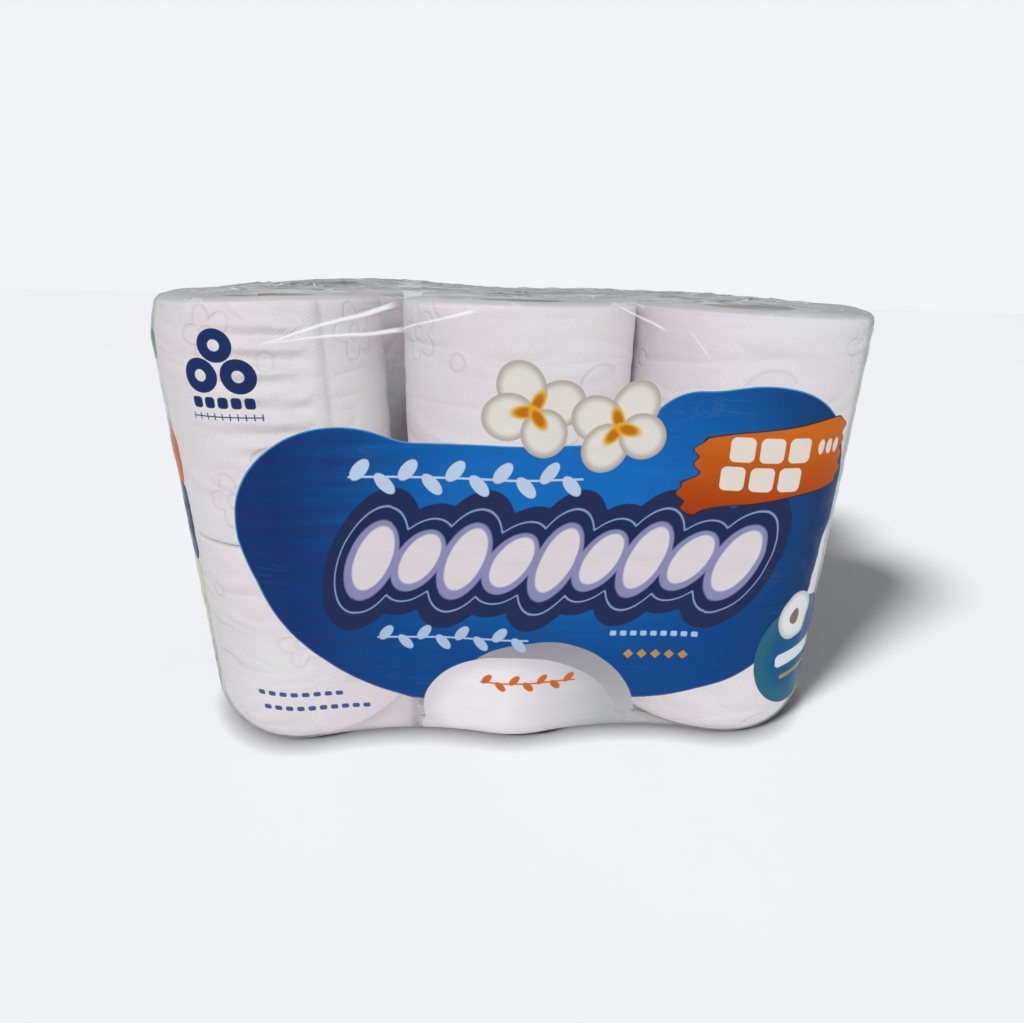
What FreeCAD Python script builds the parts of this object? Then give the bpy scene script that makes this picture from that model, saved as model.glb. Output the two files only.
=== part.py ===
# Sealed pack of twelve toilet paper rolls in printed clear film, standing on its base.
# Millimetres. +X is across the front, +Y goes to the back, +Z is up.
# The origin is the middle of the base, on the surface that the pack stands on.
import FreeCAD, Part
import math
import os
from FreeCAD import Vector

# Rolls
ROLL_DEPTH = 104.0          # front to back, the diameter where nothing squeezes a roll
LEFT_ROLL_SPAN = 94.5       # side to side, rolls of the left column, squeezed by the film
MIDDLE_ROLL_SPAN = 104.0    # side to side, rolls of the middle column
RIGHT_ROLL_SPAN = 103.5     # side to side, rolls of the right column
ROLL_HEIGHT = 99.2          # width of the paper, a little pressed by the film
ROLL_RIM = 3.0              # soft rounding of a roll's rim, which the film follows
TAIL_STEP = 0.4             # step at the loose end of the sheet
FIRST_TAIL_ANGLE = 295.0    # degrees, loose end of the upper front left roll
TAIL_TURN = 100.0           # degrees, each next roll is put in this much turned
OUTLINE_STEP = 15.0         # degrees between the points of a roll's outline

# Turns that show on the ends of a roll
TURN_GROOVES = 3            # lines between loose turns
TURN_GROOVE_WIDTH = 1.0
TURN_GROOVE_DEPTH = 0.4

# Cardboard cores
CORE_DIAMETER = 41.0
CORE_WALL = 0.6
CORE_CLEARANCE = 0.25       # paper to core, on the radius
CORE_SETBACK = 0.5          # each end of a core lies this far inside its roll

# Places of the rolls
ROLL_GAP = 0.3              # between rolls that touch, on every side
LEFT_GAP_BASE = 2.8         # left column to middle column, at the base
LEFT_GAP_TOP = 9.8          # the same at the top, because the left column leans

# Film
FILM_WALL = 0.4             # the real film is about 0.05
FILM_CLEARANCE = 0.3        # film to rolls
VALLEY_SAG = 6.0            # how far the tight film dips between two rolls
END_RISE = 4.5              # the folded top end peaks this much above its edge
END_MARGIN = 22.0           # flat border round that peak

# Folded layers and seals of the film
FLAP = 0.4                  # thickness of one folded layer
FLAP_MARGIN = 9.0           # a folded layer starts this far inside the edge
FLAP_LAP = 15.0             # the front flap reaches this far past the middle
FLAP_GROOVE = 1.2           # gap between the two flaps under the base
SEAL_WIDTH = 11.0           # pressed seal along the end of the top flap
SEAL_LENGTH = 88.0
LAP_SEAM_WIDTH = 14.0       # upright seam in the back, in the dip beside the middle roll

COLUMNS = ("left", "middle", "right")
ROWS = ("front", "back")
LAYERS = ("upper", "lower")

half_depth = ROLL_DEPTH / 2
spans = {"left": LEFT_ROLL_SPAN, "middle": MIDDLE_ROLL_SPAN, "right": RIGHT_ROLL_SPAN}
row_y = {"front": -half_depth - ROLL_GAP / 2, "back": half_depth + ROLL_GAP / 2}
base_z = FLAP + FILM_WALL + FILM_CLEARANCE
layer_z = {"lower": base_z, "upper": base_z + ROLL_HEIGHT + ROLL_GAP}
stack_top = layer_z["upper"] + ROLL_HEIGHT
film_top = stack_top + FILM_CLEARANCE + FILM_WALL
film_reach = FILM_CLEARANCE + FILM_WALL

# The top of the stack is centred on the origin, side to side
left_reach = MIDDLE_ROLL_SPAN / 2 + LEFT_GAP_TOP + LEFT_ROLL_SPAN
right_reach = MIDDLE_ROLL_SPAN / 2 + ROLL_GAP + RIGHT_ROLL_SPAN
middle_x = (left_reach - right_reach) / 2
half_width = (left_reach + right_reach) / 2
half_length = ROLL_DEPTH + ROLL_GAP / 2

# Soft rim, as (distance from the end, how far it draws in)
rim_bend = ROLL_RIM * (1 - math.sqrt(0.5))
rim = [(0, ROLL_RIM), (rim_bend, rim_bend), (ROLL_RIM, 0)]


def column_x(column, z):
    """Middle of a column of rolls at one height."""
    if column == "left":
        share = (z - base_z) / (stack_top - base_z)
        gap = LEFT_GAP_BASE + (LEFT_GAP_TOP - LEFT_GAP_BASE) * share
        return middle_x - MIDDLE_ROLL_SPAN / 2 - gap - LEFT_ROLL_SPAN / 2
    if column == "right":
        return middle_x + MIDDLE_ROLL_SPAN / 2 + ROLL_GAP + RIGHT_ROLL_SPAN / 2
    return middle_x


def oval_point(cx, cy, half_x, half_y, degrees, z):
    """Point on an oval round (cx, cy)."""
    turn = math.radians(degrees)
    return Vector(cx + half_x * math.cos(turn), cy + half_y * math.sin(turn), z)


def oval_arc(cx, cy, half_x, half_y, start, end, z):
    """Part of an oval, which is a stretched circle, between two angles in degrees."""
    circle = Part.Circle(Vector(0, 0, 0), Vector(0, 0, 1), 1.0)
    arc = Part.ArcOfCircle(circle, math.radians(start), math.radians(end)).toShape()
    stretch = FreeCAD.Matrix()
    stretch.scale(half_x, half_y, 1)
    stretch.move(Vector(cx, cy, z))
    return arc.transformGeometry(stretch)


def oval_ring(cx, cy, half_x, half_y, width, z, height):
    """Upright oval ring, as wide as given, inside the oval."""
    faces = []
    for inset in (0, width):
        halves = [oval_arc(cx, cy, half_x - inset, half_y - inset, start, start + 180, z) for start in (0, 180)]
        faces.append(Part.Face(Part.Wire(halves)))
    return faces[0].cut(faces[1]).extrude(Vector(0, 0, height))


def leaning_cylinder(column, cy, radius, low, high):
    """Cylinder that follows the lean of its column."""
    wires = []
    for z in (low, high):
        circle = Part.Circle(Vector(column_x(column, z), cy, z), Vector(0, 0, 1), radius)
        wires.append(Part.Wire([circle.toShape()]))
    return Part.makeLoft(wires, True, True)


def roll_outline(column, cy, tail_angle, z, inset):
    """Outline of a roll: its last turn grows outwards up to the loose end of the sheet."""
    cx = column_x(column, z)
    count = round(360 / OUTLINE_STEP)
    points = []
    for i in range(count + 1):
        shrink = inset + TAIL_STEP * (1 - i / count)
        points.append(oval_point(cx, cy, spans[column] / 2 - shrink, half_depth - shrink,
                                 tail_angle + i * OUTLINE_STEP, z))
    turn = Part.BSplineCurve()
    turn.interpolate(Points=points, Parameters=list(range(count + 1)))
    step = Part.LineSegment(points[-1], points[0])
    return Part.Wire([turn.toShape(), step.toShape()])


def paper_roll(column, cy, z, tail_angle):
    """Wound paper with soft rims, a bore for the core and turns that show on both ends."""
    levels = rim + [(ROLL_HEIGHT - rise, inset) for rise, inset in reversed(rim)]
    wires = [roll_outline(column, cy, tail_angle, z + rise, inset) for rise, inset in levels]
    roll = Part.makeLoft(wires, True, True)
    bore = CORE_DIAMETER / 2 + CORE_CLEARANCE
    cuts = [leaning_cylinder(column, cy, bore, z, z + ROLL_HEIGHT)]
    for i in range(TURN_GROOVES):
        share = (i + 1) / (TURN_GROOVES + 1)
        groove_x = bore + (spans[column] / 2 - bore) * share
        groove_y = bore + (half_depth - bore) * share
        for low in (z, z + ROLL_HEIGHT - TURN_GROOVE_DEPTH):
            cx = column_x(column, low)
            cuts.append(oval_ring(cx, cy, groove_x, groove_y, TURN_GROOVE_WIDTH, low, TURN_GROOVE_DEPTH))
    return roll.cut(cuts)


def core(column, cy, z):
    """Cardboard tube inside a roll."""
    low = z + CORE_SETBACK
    high = z + ROLL_HEIGHT - CORE_SETBACK
    outside = leaning_cylinder(column, cy, CORE_DIAMETER / 2, low, high)
    return outside.cut(leaning_cylinder(column, cy, CORE_DIAMETER / 2 - CORE_WALL, low, high))


def film_section(reach, z):
    """The film at one height: it hugs the outer rolls and dips between neighbours."""
    dip = math.degrees(math.asin(2 * VALLEY_SAG / half_depth))
    lobes = [("left", "front", 180 - dip, 270 + dip), ("middle", "front", 270 - dip, 270 + dip),
             ("right", "front", 270 - dip, 360 + dip), ("right", "back", -dip, 90 + dip),
             ("middle", "back", 90 - dip, 90 + dip), ("left", "back", 90 - dip, 180 + dip)]
    arcs = []
    ends = []
    for column, row, start, end in lobes:
        oval = (column_x(column, z), row_y[row], spans[column] / 2 + reach, half_depth + reach)
        arcs.append(oval_arc(*oval, start, end, z))
        ends.append((oval_point(*oval, start, z), oval_point(*oval, end, z)))
    edges = []
    for i, arc in enumerate(arcs):
        leave = ends[i][1]
        meet = ends[(i + 1) % len(ends)][0]
        middle = (leave + meet) * 0.5
        inwards = Vector(-(meet - leave).y, (meet - leave).x, 0).normalize()
        edges.append(arc)
        edges.append(Part.Arc(leave, middle + inwards * (VALLEY_SAG / 2), meet).toShape())
    return Part.Wire(edges)


def peak(low, rise, margin):
    """Low hipped peak of a folded end: triangles at the sides, long slopes front and back."""
    base_x = half_width - margin
    base_y = half_length - margin
    corners = [Vector(-base_x, -base_y, low), Vector(base_x, -base_y, low),
               Vector(base_x, base_y, low), Vector(-base_x, base_y, low)]
    ridge = [Vector(base_y - base_x, 0, low + rise), Vector(base_x - base_y, 0, low + rise)]
    outlines = [corners, [corners[0], corners[1], ridge[1], ridge[0]], [corners[1], corners[2], ridge[1]],
                [corners[2], corners[3], ridge[0], ridge[1]], [corners[3], corners[0], ridge[0]]]
    faces = [Part.Face(Part.makePolygon(outline + outline[:1])) for outline in outlines]
    return Part.makeSolid(Part.makeShell(faces))


def film_body(reach, low, high):
    """Closed form of the film at one distance from the rolls."""
    levels = [(low + rise, inset) for rise, inset in rim]
    levels += [(high - rise, inset) for rise, inset in reversed(rim)]
    wires = [film_section(reach - inset, z) for z, inset in levels]
    skin = Part.makeLoft(wires, True, True)
    overlap = (film_reach - FILM_CLEARANCE) / 2
    steepness = END_RISE / (half_length - END_MARGIN)
    return skin.fuse(peak(high - overlap, END_RISE + overlap, END_MARGIN - overlap / steepness))


def upright_prism(outline, low, high):
    """Upright prism over an outline of (x, y) corners."""
    corners = [Vector(x, y, low) for x, y in outline]
    face = Part.Face(Part.makePolygon(corners + corners[:1]))
    return face.extrude(Vector(0, 0, high - low))


def flap_outline(side, reach):
    """Front (-1) or back (1) flap, past the middle by its reach, with ends folded at 45 degrees."""
    outer = [(-half_width, side * half_length), (half_width, side * half_length)]
    run = half_length + reach
    inner = [(half_width - run, -side * reach), (run - half_width, -side * reach)]
    return outer + inner


def film_wrap():
    """The film: a closed skin with flaps folded over at both ends and a seam in the back."""
    outside = film_body(film_reach, FLAP, film_top)
    inside = film_body(FILM_CLEARANCE, FLAP + FILM_WALL, film_top - FILM_WALL)
    inside_wall = FILM_WALL / 2
    border = Part.Face(film_section(film_reach - FLAP_MARGIN, film_top - inside_wall))
    peak_room = Vector(0, 0, END_RISE + inside_wall + 3 * FLAP)

    # Top: the front and back flaps lie on the side folds, and a pressed seal holds them
    lid = border.extrude(peak_room)
    one_layer = outside.translated(Vector(0, 0, FLAP)).common(lid)
    two_layers = outside.translated(Vector(0, 0, 2 * FLAP)).common(lid)
    lid_low = lid.BoundBox.ZMin
    lid_high = lid.BoundBox.ZMax
    layers = []
    for side in (-1, 1):
        layers.append(one_layer.common(upright_prism(flap_outline(side, 0), lid_low, lid_high)))
    seal = [(-SEAL_LENGTH / 2, FLAP_LAP - SEAL_WIDTH), (SEAL_LENGTH / 2, FLAP_LAP - SEAL_WIDTH),
            (SEAL_LENGTH / 2, FLAP_LAP), (-SEAL_LENGTH / 2, FLAP_LAP)]
    layers.append(two_layers.common(upright_prism(seal, lid_low, lid_high)))

    # Base: the same flaps, which the pack stands on
    foot = Part.Face(film_section(film_reach - FLAP_MARGIN, FLAP + inside_wall))
    foot = foot.extrude(Vector(0, 0, -FLAP - inside_wall))
    for side, reach in ((-1, FLAP_LAP), (1, -FLAP_LAP - FLAP_GROOVE)):
        layers.append(foot.common(upright_prism(flap_outline(side, reach), 0, FLAP + inside_wall)))

    # Back seam: a narrow strip that stays behind the rolls
    seam_x = (column_x("middle", film_top) - MIDDLE_ROLL_SPAN / 2) - LEFT_GAP_TOP / 2
    seam_edges = (seam_x - LAP_SEAM_WIDTH / 2, seam_x + LAP_SEAM_WIDTH / 2)
    seam_y = half_length + film_reach
    strip = [(seam_edges[0], half_length / 2), (seam_edges[1], half_length / 2),
             (seam_edges[1], seam_y), (seam_edges[0], seam_y)]
    wall_low = FLAP + ROLL_RIM
    wall_high = film_top - ROLL_RIM
    wires = [film_section(film_reach + FLAP, z) for z in (wall_low, wall_high)]
    seam = Part.makeLoft(wires, True, True).common(upright_prism(strip, wall_low, wall_high))
    layers.append(seam)
    return outside.fuse(layers).cut(inside)


def save(name, solid):
    """Writes one sub-part and prints its box."""
    solid.exportStep(f"parts/{name}.step")
    box = solid.BoundBox
    sides = (box.XMin, box.XMax, box.YMin, box.YMax, box.ZMin, box.ZMax)
    print(name, len(solid.Solids), solid.isValid(), round(solid.Volume, 1), [round(v, 2) for v in sides])


os.makedirs("parts", exist_ok=True)
tail = FIRST_TAIL_ANGLE
for layer in LAYERS:
    for row in ROWS:
        for column in COLUMNS:
            place = f"{layer}_{row}_{column}"
            save("roll_" + place, paper_roll(column, row_y[row], layer_z[layer], tail))
            save("core_" + place, core(column, row_y[row], layer_z[layer]))
            tail += TAIL_TURN
save("film_wrap", film_wrap())
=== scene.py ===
# Dressed model of a sealed pack of toilet paper rolls in printed clear film.
import math
import bmesh
import bpy
from mathutils import Matrix, Vector, noise


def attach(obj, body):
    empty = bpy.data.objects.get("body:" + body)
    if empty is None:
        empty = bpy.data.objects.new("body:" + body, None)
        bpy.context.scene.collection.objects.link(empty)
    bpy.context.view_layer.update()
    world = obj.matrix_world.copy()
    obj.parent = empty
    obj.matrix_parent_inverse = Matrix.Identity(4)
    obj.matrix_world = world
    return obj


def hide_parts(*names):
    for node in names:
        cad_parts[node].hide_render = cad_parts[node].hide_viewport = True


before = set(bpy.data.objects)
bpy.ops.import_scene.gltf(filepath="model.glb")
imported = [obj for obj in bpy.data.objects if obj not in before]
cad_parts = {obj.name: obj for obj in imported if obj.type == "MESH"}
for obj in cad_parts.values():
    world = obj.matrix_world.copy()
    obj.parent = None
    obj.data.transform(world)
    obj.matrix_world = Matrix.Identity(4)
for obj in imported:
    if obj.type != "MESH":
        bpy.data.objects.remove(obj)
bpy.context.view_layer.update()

MM = 0.001

# Sizes of the pack in millimetres, as in the part
ROLL_DEPTH = 104.0
SPANS = {"left": 94.5, "middle": 104.0, "right": 103.5}
ROLL_GAP = 0.3
LEFT_GAP_BASE = 2.8
LEFT_GAP_TOP = 9.8
ROLL_HEIGHT = 99.2
ROLL_RIM = 3.0
CORE_BORE = 20.75
BASE_Z = 1.1
STACK_TOP = 199.8
TAIL_STEP = 0.4
FIRST_TAIL_ANGLE = 308.0
TAIL_TURN = 100.0
FILM_REACH = 0.7
VALLEY_DIP = 3.0
PRINT_HEIGHT = 200.0
PRINT_EDGE = 0.2

HALF_DEPTH = ROLL_DEPTH / 2
COLUMNS = ("left", "middle", "right")
ROWS = ("front", "back")
LAYERS = ("upper", "lower")
ROW_Y = {"front": -HALF_DEPTH - ROLL_GAP / 2, "back": HALF_DEPTH + ROLL_GAP / 2}
LAYER_Z = {"lower": BASE_Z, "upper": BASE_Z + ROLL_HEIGHT + ROLL_GAP}
LEFT_REACH = SPANS["middle"] / 2 + LEFT_GAP_TOP + SPANS["left"]
RIGHT_REACH = SPANS["middle"] / 2 + ROLL_GAP + SPANS["right"]
MIDDLE_X = (LEFT_REACH - RIGHT_REACH) / 2
LOBE_DIP = math.degrees(math.asin(12.0 / HALF_DEPTH))

# Film mesh: cells along the front, along a side and up the wall
FRONT_CELLS = 184
SIDE_CELLS = 80
WALL_CELLS = 104
RIM_CELLS = 3


def column_x(column, z):
    """Middle of a column of rolls at one height: the left one leans."""
    if column == "left":
        share = (z - BASE_Z) / (STACK_TOP - BASE_Z)
        gap = LEFT_GAP_BASE + (LEFT_GAP_TOP - LEFT_GAP_BASE) * share
        return MIDDLE_X - SPANS["middle"] / 2 - gap - SPANS["left"] / 2
    if column == "right":
        return MIDDLE_X + SPANS["middle"] / 2 + ROLL_GAP + SPANS["right"] / 2
    return MIDDLE_X


def smooth(low, high, value):
    """0 below low, 1 above high, and a soft step between."""
    share = min(max((value - low) / (high - low), 0.0), 1.0)
    return share * share * (3 - 2 * share)


# The film's way round the pack: lobes on the rolls, and dips between them
FRONT = [("left", "front", 225, 270 + LOBE_DIP), None, ("middle", "front", 270 - LOBE_DIP, 270 + LOBE_DIP),
         None, ("right", "front", 270 - LOBE_DIP, 315)]
RIGHT = [("right", "front", 315, 360 + LOBE_DIP), None, ("right", "back", -LOBE_DIP, 45)]
BACK = [("right", "back", 45, 90 + LOBE_DIP), None, ("middle", "back", 90 - LOBE_DIP, 90 + LOBE_DIP),
        None, ("left", "back", 90 - LOBE_DIP, 135)]
LEFT = [("left", "back", 135, 180 + LOBE_DIP), None, ("left", "front", 180 - LOBE_DIP, 225)]
SIDES = (FRONT, RIGHT, BACK, LEFT)


def lobe_point(lobe, share, z, reach):
    column, row, start, end = lobe
    turn = math.radians(start + (end - start) * share)
    x = column_x(column, z) + (SPANS[column] / 2 + reach) * math.cos(turn)
    return Vector((x, ROW_Y[row] + (HALF_DEPTH + reach) * math.sin(turn)))


def piece_point(side, index, share, z, reach, dip):
    """Point on one lobe or dip of a side."""
    if side[index]:
        return lobe_point(side[index], share, z, reach)
    leave = lobe_point(side[index - 1], 1, z, reach)
    meet = lobe_point(side[index + 1], 0, z, reach)
    along = meet - leave
    inwards = Vector((-along.y, along.x)).normalized()
    return leave + along * share + inwards * (dip * 4 * share * (1 - share))


def piece_length(side, index):
    """Length of one lobe or dip at half height."""
    steps = 16
    half_up = PRINT_HEIGHT / 2
    points = [piece_point(side, index, i / steps, half_up, FILM_REACH, VALLEY_DIP) for i in range(steps + 1)]
    return sum((b - a).length for a, b in zip(points, points[1:]))


LENGTHS = [[piece_length(side, i) for i in range(len(side))] for side in SIDES]
SIDE_LENGTHS = [sum(lengths) for lengths in LENGTHS]
AROUND = sum(SIDE_LENGTHS)
FRONT_MIDDLE = LENGTHS[0][0] + LENGTHS[0][1] + LENGTHS[0][2] / 2


def film_point(side, share, z, reach, dip):
    """Point on the film's outline, at a share of one side's length."""
    left = share * SIDE_LENGTHS[side]
    lengths = LENGTHS[side]
    for index, length in enumerate(lengths):
        if left <= length or index == len(lengths) - 1:
            return piece_point(SIDES[side], index, min(left / length, 1.0), z, reach, dip)
        left -= length


def print_place(side, share):
    """Distance round the film from the middle of the front, in millimetres, to the right."""
    return sum(SIDE_LENGTHS[:side]) + share * SIDE_LENGTHS[side] - FRONT_MIDDLE


# Creases in the front of the film, as (start, end, height, half width): places are (round, up) in mm
CREASES = [
    ((-95, 184), (-50, 198), 1.0, 2.2), ((-95, 184), (-47, 189), 0.9, 1.8),
    ((-47, 189), (-21, 197), 0.7, 1.8), ((34, 200), (52, 192), 0.5, 1.8),
    ((66, 189), (71, 184), 0.3, 2.4), ((-73, 181), (-54, 177), 0.4, 2.0),
    ((68, 194), (88, 187), 0.7, 2.6), ((92, 186), (112, 182), 0.5, 3.0),
    ((-60, 168), (-84, 170), 0.4, 3.0), ((-60, 160), (-88, 161), 0.4, 3.0),
    ((-110, 130), (-70, 124), 0.5, 2.6), ((-112, 112), (-66, 108), 0.5, 2.8),
    ((-106, 96), (-60, 90), 0.5, 2.6), ((-100, 78), (-58, 70), 0.5, 3.0),
    ((108, 120), (140, 92), 0.6, 3.0), ((112, 104), (144, 70), 0.6, 3.0),
    ((118, 84), (140, 50), 0.5, 2.6), ((-100, 8), (-60, 5), 0.8, 2.2),
    ((-130, 24), (-108, 8), 0.7, 2.6), ((-52, 30), (-48, 6), 0.6, 3.0),
    ((50, 28), (53, 4), 0.6, 3.0),
]
# The first of them are the long white ones, which the material also paints white, as crease whitening and
# painted glints
LONG_CREASES = CREASES[:5]


def crease_height(round_place, up):
    """Sum of the ridges at one place of the film."""
    total = 0.0
    for (x0, z0), (x1, z1), height, width in CREASES:
        dx, dz = x1 - x0, z1 - z0
        share = ((round_place - x0) * dx + (up - z0) * dz) / (dx * dx + dz * dz)
        if -0.1 < share < 1.1:
            off = abs((round_place - x0) * dz - (up - z0) * dx) / math.hypot(dx, dz)
            if off < 4 * width:
                fade = smooth(-0.1, 0.15, share) * (1 - smooth(0.85, 1.1, share))
                total += height * fade * math.exp(-(off / width) ** 2)
    return total


# How far the soft pack gives, in mm: inwards at its corners, and down at the top of the front
TOP_CORNER_PULL = 4.2
BASE_CORNER_PULL = 6.5
BASE_FRONT_PULL = 6.0
BASE_LEFT_PULL = 3.0
LEFT_TOP_DROP = 2.4
RIGHT_TOP_DROP = 2.6
BASE_ROUNDING = 16.0


def settled(point):
    """Where the soft pack gives a little: rounder at the left top and the base, lower at the right top."""
    x, y, z = point
    far_left = smooth(100, 152, MIDDLE_X - x)
    far_right = smooth(96, 152, x - MIDDLE_X)
    front = smooth(40, 100, -y)
    high = smooth(176, 202, z)
    low = max(0.0, 1 - z / BASE_ROUNDING) ** 2
    x += far_left * (TOP_CORNER_PULL * high * high + BASE_CORNER_PULL * low)
    x -= far_right * BASE_CORNER_PULL * low
    y += front * BASE_FRONT_PULL * low * low + far_left * front * BASE_LEFT_PULL * low
    drop = LEFT_TOP_DROP * smooth(80, 150, MIDDLE_X - x) * front
    drop += RIGHT_TOP_DROP * smooth(30, 140, x - MIDDLE_X) * front
    z -= high * drop
    return Vector((x, y, z))


def wrinkle(x, y, z, size):
    """Soft noise between -1 and 1, with features of about the given size in mm."""
    return noise.noise(Vector((x, y, z)) / size)


# Soft peaks of the folded top: middle, reach and height, in mm
TOP_PEAKS = [((-72, -8), (52, 62), 5.2), ((62, 4), (60, 50), 2.6)]
FILM_LOW = BASE_Z - 0.5
FILM_HIGH = STACK_TOP + 0.6
# Width that the print map gives to a folded end, from its rim to its middle
END_SPREAD = 100


def film_end_height(x, y, rho):
    """How far the folded top stands off the rolls, in mm."""
    hump = 0.0
    for (peak_x, peak_y), (reach_x, reach_y), height in TOP_PEAKS:
        hump += height * math.exp(-((x - peak_x) / reach_x) ** 2 - ((y - peak_y) / reach_y) ** 2)
    folds = abs(wrinkle(x, y * 1.6, 3.0, 17)) * 1.5 + abs(wrinkle(x * 1.3, y, 9.0, 7)) * 0.7
    side_fold = math.exp(-((abs(y) - (156 - abs(x))) / 2.2) ** 2) if abs(x) > 50 else 0.0
    seal = smooth(3, 4.5, y) * (1 - smooth(14, 15, y)) * (1 - smooth(56, 60, abs(x)))
    settle = smooth(0.0, 0.18, 1 - rho)
    return 0.6 + settle * (hump + folds + 0.9 * side_fold + 0.6 * seal)


def grid_side(px, py, rho):
    """Side of the pack that a corner of the unfolded film mesh belongs to, and its share along that side."""
    if rho < 1e-6:
        return 0, 0.5
    if py <= -rho + 1e-6:
        return 0, (px / rho + 1) / 2
    if px >= rho - 1e-6:
        return 1, (py / rho + 1) / 2
    if py >= rho - 1e-6:
        return 2, (1 - px / rho) / 2
    return 3, (1 - py / rho) / 2


def wall_row(row):
    """Height of one row of the film, counted from the top rim, and how far its rounded rim steps in."""
    if row <= RIM_CELLS:
        bend = math.pi / 2 * (1 - row / RIM_CELLS)
        return FILM_HIGH - ROLL_RIM + ROLL_RIM * math.sin(bend), ROLL_RIM * (1 - math.cos(bend))
    if row >= WALL_CELLS - RIM_CELLS:
        bend = math.pi / 2 * (1 - (WALL_CELLS - row) / RIM_CELLS)
        return FILM_LOW + ROLL_RIM - ROLL_RIM * math.sin(bend), ROLL_RIM * (1 - math.cos(bend))
    share_up = 1 - (row - RIM_CELLS) / (WALL_CELLS - 2 * RIM_CELLS)
    return FILM_LOW + ROLL_RIM + (FILM_HIGH - FILM_LOW - 2 * ROLL_RIM) * share_up, 0.0


def film_place(px, py, pz):
    """Where a corner of the unfolded film mesh goes: its place in mm, and its place in the print."""
    rho = max(abs(px), abs(py))
    side, share = grid_side(px, py, rho)
    round_place = print_place(side, share)
    z, inset = wall_row(-pz)
    end_pull = smooth(40, 0, z) * 2.4 if z < 40 else smooth(170, 200, z)
    dip = VALLEY_DIP + end_pull
    point = film_point(side, share, z, FILM_REACH - inset, dip)
    if rho < 1 - 1e-6:
        center_x = (column_x("left", z) + column_x("right", z)) / 2
        x = center_x + (point.x - center_x) * rho
        y = point.y * rho
        on_top = pz > -0.5
        v = PRINT_HEIGHT + (1 - rho) * END_SPREAD if on_top else -(1 - rho) * END_SPREAD
        if on_top:
            z += film_end_height(x, y, rho)
        return settled((x, y, z)), round_place, v
    step = 0.002
    ahead = film_point(side, min(share + step, 1.0), z, FILM_REACH - inset, dip)
    behind = film_point(side, max(share - step, 0.0), z, FILM_REACH - inset, dip)
    along = (ahead - behind).normalized()
    outwards = Vector((along.y, -along.x))
    # Tight film stays on the rolls; wrinkles only stand out from them
    fade = smooth(0, 12, z) * (1 - smooth(192, 201, z))
    soft = abs(wrinkle(point.x * 0.55, point.y * 0.55, z * 1.3, 15)) * 0.75
    fine = abs(wrinkle(point.x + z * 0.5, point.y, z, 6)) * 0.25
    lift = 0.15 + (soft + fine) * fade
    if side == 0 or abs(round_place) < 170:
        lift += crease_height(round_place, z) * (0.4 + 0.6 * fade)
    point = point + outwards * lift
    return settled((point.x, point.y, z)), round_place, z


def film_mesh():
    """One closed skin: a grid for the top, its rim drawn down as the wall, and a grid for the base."""
    skin = bmesh.new()
    bmesh.ops.create_grid(skin, x_segments=FRONT_CELLS, y_segments=SIDE_CELLS, size=1.0)
    rim = [edge for edge in skin.edges if edge.is_boundary]
    for _ in range(WALL_CELLS):
        drawn = bmesh.ops.extrude_edge_only(skin, edges=rim)["geom"]
        corners = [item for item in drawn if isinstance(item, bmesh.types.BMVert)]
        rim = [item for item in drawn if isinstance(item, bmesh.types.BMEdge) and item.is_boundary]
        bmesh.ops.translate(skin, verts=corners, vec=(0, 0, -1))
    base = bmesh.ops.create_grid(skin, x_segments=FRONT_CELLS, y_segments=SIDE_CELLS, size=1.0)["verts"]
    bmesh.ops.translate(skin, verts=base, vec=(0, 0, -WALL_CELLS))
    bmesh.ops.remove_doubles(skin, verts=skin.verts, dist=0.0005)
    bmesh.ops.recalc_face_normals(skin, faces=skin.faces)
    places = {}
    for corner in skin.verts:
        places[corner] = film_place(*corner.co)
    print_map = skin.loops.layers.uv.new("print")
    half_round = AROUND / 2
    for face in skin.faces:
        rounds = [places[loop.vert][1] for loop in face.loops]
        split = max(rounds) - min(rounds) > half_round
        for loop in face.loops:
            _, along, up = places[loop.vert]
            if split and along < AROUND / 4:
                along += AROUND
            loop[print_map].uv = (along * MM, up * MM)
    for corner, (place, _, _) in places.items():
        corner.co = place * MM
    if skin.calc_volume(signed=True) < 0:
        bmesh.ops.reverse_faces(skin, faces=skin.faces)
    return skin


def new_piece(name, shape, material):
    """Makes an object of the finished shape and sets its material."""
    mesh = bpy.data.meshes.new(name)
    shape.to_mesh(mesh)
    shape.free()
    for face in mesh.polygons:
        face.use_smooth = True
    piece = bpy.data.objects.new(name, mesh)
    bpy.context.scene.collection.objects.link(piece)
    mesh.materials.append(material)
    return piece


# Rolls: cells round a roll, up its side and across its end, and the pitch and depth of the rings on its ends
TURNS_ROUND = 132
SIDE_ROWS = 40
END_RINGS = 16
RING_PITCH = 4.1
RING_DEPTH = 0.25
# Level puckers before the loose sheet end, and the glued band on it
PUCKER_PITCH = 9.0
PUCKER_DEPTH = 0.7
BAND_RISE = 0.35


def roll_profile():
    """Outline of a roll from its bore over the base end, the side and the top end, as (radius, height)."""
    inner = HALF_DEPTH - ROLL_RIM
    high = ROLL_HEIGHT - ROLL_RIM
    ends = [CORE_BORE + (inner - CORE_BORE) * i / END_RINGS for i in range(END_RINGS + 1)]
    bends = [math.pi / 2 * i / 4 for i in range(1, 4)]
    outline = [(radius, 0.0) for radius in ends]
    outline += [(inner + ROLL_RIM * math.sin(bend), ROLL_RIM * (1 - math.cos(bend))) for bend in bends]
    outline += [(HALF_DEPTH, ROLL_RIM + (high - ROLL_RIM) * i / SIDE_ROWS) for i in range(SIDE_ROWS + 1)]
    outline += [(inner + ROLL_RIM * math.cos(bend), high + ROLL_RIM * math.sin(bend)) for bend in bends]
    return outline + [(radius, ROLL_HEIGHT) for radius in reversed(ends)]


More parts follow.
